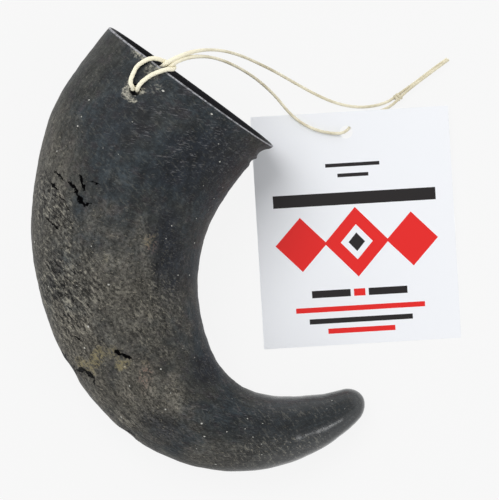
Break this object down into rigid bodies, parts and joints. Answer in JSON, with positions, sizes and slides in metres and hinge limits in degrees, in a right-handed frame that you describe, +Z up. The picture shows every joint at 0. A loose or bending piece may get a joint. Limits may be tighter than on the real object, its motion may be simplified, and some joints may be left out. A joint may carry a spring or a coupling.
{
  "type": "buffalo horn",
  "caption": "Hollow dark curved horn, sawn square at its wide mouth, with a blunt solid tip, a string hitched through a drilled hole and a plain card tag tied on.",
  "frame": {"origin": "under the middle of the horn's box, on the surface that the horn lies on", "axes": "+Y along the horn's longest extent, towards its sawn mouth; +X towards its tip; +Z up, the horn's thinnest extent, across the plane of its curve"},
  "size_m": [0.1653, 0.1698, 0.0583],
  "materials": {
    "horn": "satin",
    "string": "matte",
    "tag": "satin"
  },
  "bodies": {
    "root": {"horn": "horn", "string": "string", "tag": "tag"}
  },
  "joints": []
}
